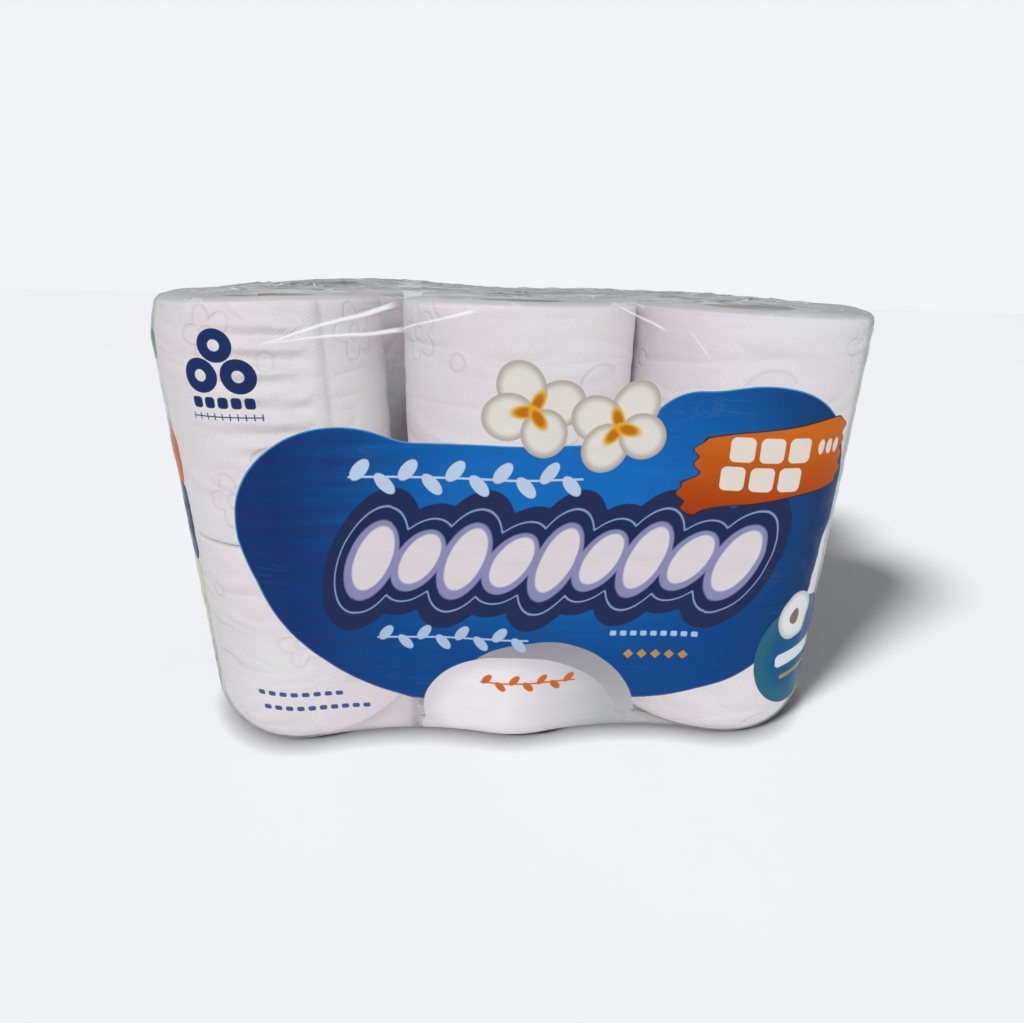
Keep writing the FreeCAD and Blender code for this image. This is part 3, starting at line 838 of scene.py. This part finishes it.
def tissue_paper():
    """Two-ply tissue: soft matt white with an embossed twill and pressed flower outlines, with painted shade
    in the outlines.
    """
    material, tree = new_material("embossed_tissue_paper")
    place = add(tree, "ShaderNodeUVMap", uv_map="paper").outputs[0]
    parts = add(tree, "ShaderNodeSeparateXYZ", {0: place})
    u = calc(tree, "MULTIPLY", parts.outputs[0], 1 / MM)
    v = calc(tree, "MULTIPLY", parts.outputs[1], 1 / MM)
    # Dotted twill lines that rise to the right
    line_pitch, dot_pitch = 1.3, 1.6
    across, along = turned(tree, u, v, 0, 0, -51)
    twill = calc(tree, "SINE", calc(tree, "MULTIPLY", across, 2 * math.pi / line_pitch))
    dots = calc(tree, "SINE", calc(tree, "MULTIPLY", along, 2 * math.pi / dot_pitch))
    twill = calc(tree, "MULTIPLY", calc(tree, "ADD", twill, calc(tree, "MULTIPLY", dots, 0.5)), 0.038)
    # Flower, ring and curl outlines, repeated in offset cells
    cell_u, cell_v = 65.3, 66.0
    column = calc(tree, "FLOOR", calc(tree, "DIVIDE", u, cell_u))
    shift = calc(tree, "MULTIPLY", calc(tree, "MODULO", column, 2.0), cell_v / 2)
    a = calc(tree, "WRAP", u, cell_u, 0.0)
    b = calc(tree, "WRAP", calc(tree, "ADD", v, shift), cell_v, 0.0)
    lines = []
    dx = calc(tree, "SUBTRACT", a, 19.0)
    dy = calc(tree, "SUBTRACT", b, 20.0)
    angle = calc(tree, "ARCTAN2", dy, dx)
    far = apart(tree, dx, dy)
    petals = calc(tree, "ABSOLUTE", calc(tree, "SINE", calc(tree, "MULTIPLY", angle, 2.5)))
    petals = calc(tree, "ADD", 6.5, calc(tree, "MULTIPLY", petals, 5.5))
    lines.append(calc(tree, "ABSOLUTE", calc(tree, "SUBTRACT", far, petals)))
    lines.append(calc(tree, "ABSOLUTE", calc(tree, "SUBTRACT", far, 3.0)))
    lines.append(calc(tree, "ABSOLUTE", oval(tree, a, b, 42, 10, 3.4, 3.4)))
    curl = calc(tree, "ABSOLUTE", oval(tree, a, b, 40, 34, 11, 9))
    gap = calc(tree, "GREATER_THAN", calc(tree, "SUBTRACT", a, 40.0), calc(tree, "SUBTRACT", b, 30.0))
    lines.append(calc(tree, "ADD", curl, calc(tree, "MULTIPLY", gap, 4.0)))
    nearest = lines[0]
    for line in lines[1:]:
        nearest = calc(tree, "MINIMUM", nearest, line)
    groove = {"Value": nearest, "From Min": 0.1, "From Max": 1.3, "To Min": 1.0, "To Max": 0.0}
    groove = add(tree, "ShaderNodeMapRange", groove, interpolation_type="SMOOTHSTEP").outputs[0]
    # On the ends the turns show as fine rings
    ends = calc(tree, "GREATER_THAN", v, ROLL_HEIGHT + 0.5)
    rings = calc(tree, "MULTIPLY", calc(tree, "SINE", calc(tree, "MULTIPLY", v, 2 * math.pi / 0.9)), 0.12)
    side_height = calc(tree, "SUBTRACT", twill, calc(tree, "MULTIPLY", groove, 0.34))
    # The puckers before the sheet end, finer than the mesh draws them
    turn = calc(tree, "MULTIPLY", u, 180 / math.pi / HALF_DEPTH)
    sway = calc(tree, "MULTIPLY", calc(tree, "SINE", calc(tree, "MULTIPLY", v, 1 / 17)), 0.8)
    sway = calc(tree, "ADD", calc(tree, "MULTIPLY", turn, 1 / 40), sway)
    wave = calc(tree, "SINE", calc(tree, "ADD", sway, calc(tree, "MULTIPLY", v, 2 * math.pi / PUCKER_PITCH)))
    before = share_of(tree, turn, 304.0, 25)
    before = calc(tree, "MULTIPLY", before, ramp_step(tree, turn, 351.0, 3.0))
    inside = calc(tree, "SUBTRACT", 1.0, ramp_step(tree, v, 10.0, 6.0))
    inside = calc(tree, "MULTIPLY", inside, ramp_step(tree, v, ROLL_HEIGHT - 8.0, 5.0))
    puckers = calc(tree, "MULTIPLY", calc(tree, "MULTIPLY", wave, before), inside)
    uneven = add(tree, "ShaderNodeTexNoise", {"Vector": place, "Scale": 55.0, "Detail": 0.0}).outputs[0]
    uneven = calc(tree, "MULTIPLY", calc(tree, "SUBTRACT", uneven, 0.25), 4.0, clamp=True)
    side_height = calc(tree, "ADD", side_height, calc(tree, "MULTIPLY", puckers, uneven))
    soft = add(tree, "ShaderNodeTexNoise", {"Vector": place, "Scale": 120.0, "Detail": 3.0}).outputs[0]
    # Broad level folds where the film presses the loose outer sheet
    stretch = {"Vector": place, "Rotation": (0, 0, 0.25), "Scale": (20.0, 62.0, 1.0)}
    stretch = add(tree, "ShaderNodeMapping", stretch).outputs[0]
    sagging = {"Vector": stretch, "Scale": 1.0, "Detail": 1.0, "Distortion": 0.5}
    sagging = add(tree, "ShaderNodeTexNoise", sagging).outputs[0]
    sagging = calc(tree, "ABSOLUTE", calc(tree, "SUBTRACT", sagging, 0.5))
    side_height = calc(tree, "ADD", side_height, calc(tree, "MULTIPLY", sagging, 4.5))
    height = {"Factor": ends, 2: side_height, 3: rings}
    height = add(tree, "ShaderNodeMix", height, data_type="FLOAT").outputs[0]
    height = calc(tree, "ADD", height, calc(tree, "MULTIPLY", soft, 0.25))
    bump = add(tree, "ShaderNodeBump", {"Height": height, "Strength": 0.8, "Distance": 0.001}).outputs[0]
    # Faint pink and mint drifts, as recycled pulp has
    drift = add(tree, "ShaderNodeTexNoise", {"Vector": place, "Scale": 16.0, "Detail": 1.0}).outputs[0]
    drift = add(tree, "ShaderNodeMapRange", {"Value": drift, "From Min": 0.35, "From Max": 0.65}).outputs[0]
    colour = blend(tree, drift, "#e2d7dc", "#ddd8db")
    # Painted shade in the pressed outlines: they are painted a little greyer
    colour = blend(tree, calc(tree, "MULTIPLY", groove, 0.18), colour, "#beb6ba")
    paper = {"Base Color": colour, "Roughness": 0.92, "Sheen Weight": 0.15, "Specular IOR Level": 0.2,
             "Normal": bump}
    paper = add(tree, "ShaderNodeBsdfPrincipled", paper).outputs[0]
    add(tree, "ShaderNodeOutputMaterial", {"Surface": paper})
    return material


def core_board():
    """Spiral-wound grey board: dull brown with a darker line at each lap."""
    material, tree = new_material("spiral_wound_core_board")
    place = add(tree, "ShaderNodeTexCoord").outputs["Object"]
    grain = add(tree, "ShaderNodeTexNoise", {"Vector": place, "Scale": 420.0, "Detail": 4.0}).outputs[0]
    wide = add(tree, "ShaderNodeTexNoise", {"Vector": place, "Scale": 40.0, "Detail": 2.0}).outputs[0]
    lap = {"Vector": place, "Scale": 9.0, "Distortion": 0.0}
    lap = add(tree, "ShaderNodeTexWave", lap, bands_direction="Z").outputs[1]
    seam = calc(tree, "GREATER_THAN", lap, 0.97)
    tone = calc(tree, "ADD", calc(tree, "MULTIPLY", grain, 0.6), calc(tree, "MULTIPLY", wide, 0.4))
    colour = blend(tree, tone, "#8d7c68", "#a8977f")
    colour = blend(tree, calc(tree, "MULTIPLY", seam, 0.5), colour, "#6e6153")
    bump = add(tree, "ShaderNodeBump", {"Height": grain, "Strength": 0.3, "Distance": 0.0004}).outputs[0]
    board = {"Base Color": colour, "Roughness": 0.85, "Normal": bump}
    board = add(tree, "ShaderNodeBsdfPrincipled", board).outputs[0]
    add(tree, "ShaderNodeOutputMaterial", {"Surface": board})
    return material


# Pieces
paper = tissue_paper()
board = core_board()
film = printed_film()
pack = []
tail = FIRST_TAIL_ANGLE
for layer in LAYERS:
    for row in ROWS:
        for column in COLUMNS:
            place_name = f"{layer}_{row}_{column}"
            roll = new_piece("paper_" + place_name, paper_roll_mesh(column, row, layer, tail), paper)
            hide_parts("roll_" + place_name)
            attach(roll, "root")
            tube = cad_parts["core_" + place_name]
            tube.data.materials.clear()
            tube.data.materials.append(board)
            pack += [roll, tube]
            tail += TAIL_TURN
wrap = new_piece("film_skin", film_mesh(), film)
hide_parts("film_wrap")
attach(wrap, "root")
pack.append(wrap)


# Floor, light and camera
def studio_floor():
    """Pale seamless floor that shows as near white to the camera and keeps the pack's shadow."""
    half_width = 6.0
    material, tree = new_material("pale_seamless_floor")
    place = add(tree, "ShaderNodeTexCoord").outputs["Object"]
    mottle = {"Vector": place, "Scale": 3.5, "Detail": 5.0, "Roughness": 0.6}
    mottle = add(tree, "ShaderNodeTexNoise", mottle).outputs[0]
    colour = blend(tree, mottle, "#a8a9ac", "#afb0b3")
    # Contact shade under the rounded lower edge of the pack
    near = add(tree, "ShaderNodeAmbientOcclusion", {"Distance": 0.010}, samples=1).outputs["AO"]
    near = calc(tree, "MULTIPLY", calc(tree, "SUBTRACT", 0.98, near), 1.5, clamp=True)
    near = calc(tree, "POWER", near, 1.4)
    colour = blend(tree, near, colour, "#4c4c4e")
    path = add(tree, "ShaderNodeLightPath")
    colour = blend(tree, path.outputs["Is Diffuse Ray"], colour, "#979797")
    floor = {"Base Color": colour, "Roughness": 0.9, "Specular IOR Level": 0.1}
    floor = add(tree, "ShaderNodeBsdfPrincipled", floor).outputs[0]
    add(tree, "ShaderNodeOutputMaterial", {"Surface": floor})
    ground = bmesh.new()
    bmesh.ops.create_grid(ground, x_segments=8, y_segments=8, size=half_width)
    piece = new_piece("studio_floor", ground, material)
    return piece


def studio_world():
    """Even pale surroundings: the floor's own tone behind the pack, softer as a light."""
    world = bpy.data.worlds.new("studio_world")
    bpy.context.scene.world = world
    world.use_nodes = True
    tree = world.node_tree
    tree.nodes.clear()
    path = add(tree, "ShaderNodeLightPath")
    seen = calc(tree, "MAXIMUM", path.outputs["Is Camera Ray"], path.outputs["Is Transmission Ray"])
    # Strength as a light, more where the camera sees it, and less in the film's gloss
    plain, more, less = 0.55, 0.45, 0.15
    less = calc(tree, "MULTIPLY", path.outputs["Is Glossy Ray"], less)
    strength = calc(tree, "SUBTRACT", calc(tree, "MULTIPLY", seen, more), less)
    strength = calc(tree, "ADD", strength, plain)
    light = add(tree, "ShaderNodeBackground", {"Color": linear("#f2f4f7"), "Strength": strength}).outputs[0]
    add(tree, "ShaderNodeOutputWorld", {"Surface": light})


def distant_light(name, towards, power, spread, colour, only):
    """Even light from the given direction. It lights only the pieces given, and every piece shades it."""
    lamp = bpy.data.lights.new(name, "SUN")
    lamp.energy = power
    lamp.angle = math.radians(spread)
    lamp.color = linear(colour)[:3]
    holder = bpy.data.objects.new(name, lamp)
    bpy.context.scene.collection.objects.link(holder)
    holder.rotation_euler = Vector(towards).to_track_quat("Z", "Y").to_euler()
    lit = bpy.data.collections.new(name + "_lit")
    for piece in only:
        lit.objects.link(piece)
    holder.light_linking.receiver_collection = lit


def photo_camera():
    """Camera at the photographed view: close, a little above the top, slightly turned and tilted."""
    width_px = 1024
    focal_px = 632.9
    yaw, pitch, roll = 0.0664, 0.3541, 0.027
    stand = Vector((-20.4, -350.0, 209.0)) * MM
    lens = bpy.data.cameras.new("photo_camera")
    lens.sensor_width = 36.0
    lens.lens = focal_px / width_px * lens.sensor_width
    lens.clip_start = 0.01
    ahead = Vector((math.sin(yaw) * math.cos(pitch), math.cos(yaw) * math.cos(pitch), -math.sin(pitch)))
    level = Vector((math.cos(yaw), -math.sin(yaw), 0))
    upright = level.cross(ahead)
    right = level * math.cos(roll) + upright * math.sin(roll)
    up = upright * math.cos(roll) - level * math.sin(roll)
    holder = bpy.data.objects.new("photo_camera", lens)
    bpy.context.scene.collection.objects.link(holder)
    turn = Matrix((right, up, -ahead)).transposed().to_4x4()
    holder.matrix_world = Matrix.Translation(stand) @ turn
    bpy.context.scene.camera = holder


floor = studio_floor()
studio_world()
distant_light("floor_key", (-180, -136, 200), 7.8, 12, "#fffefc", [floor])
distant_light("pack_key", (-50, -120, 125), 1.3, 16, "#fffeff", pack)
distant_light("pack_fill", (38, -100, 14), 0.9, 40, "#fffeff", pack)
photo_camera()
bpy.context.scene.view_settings.view_transform = "Standard"
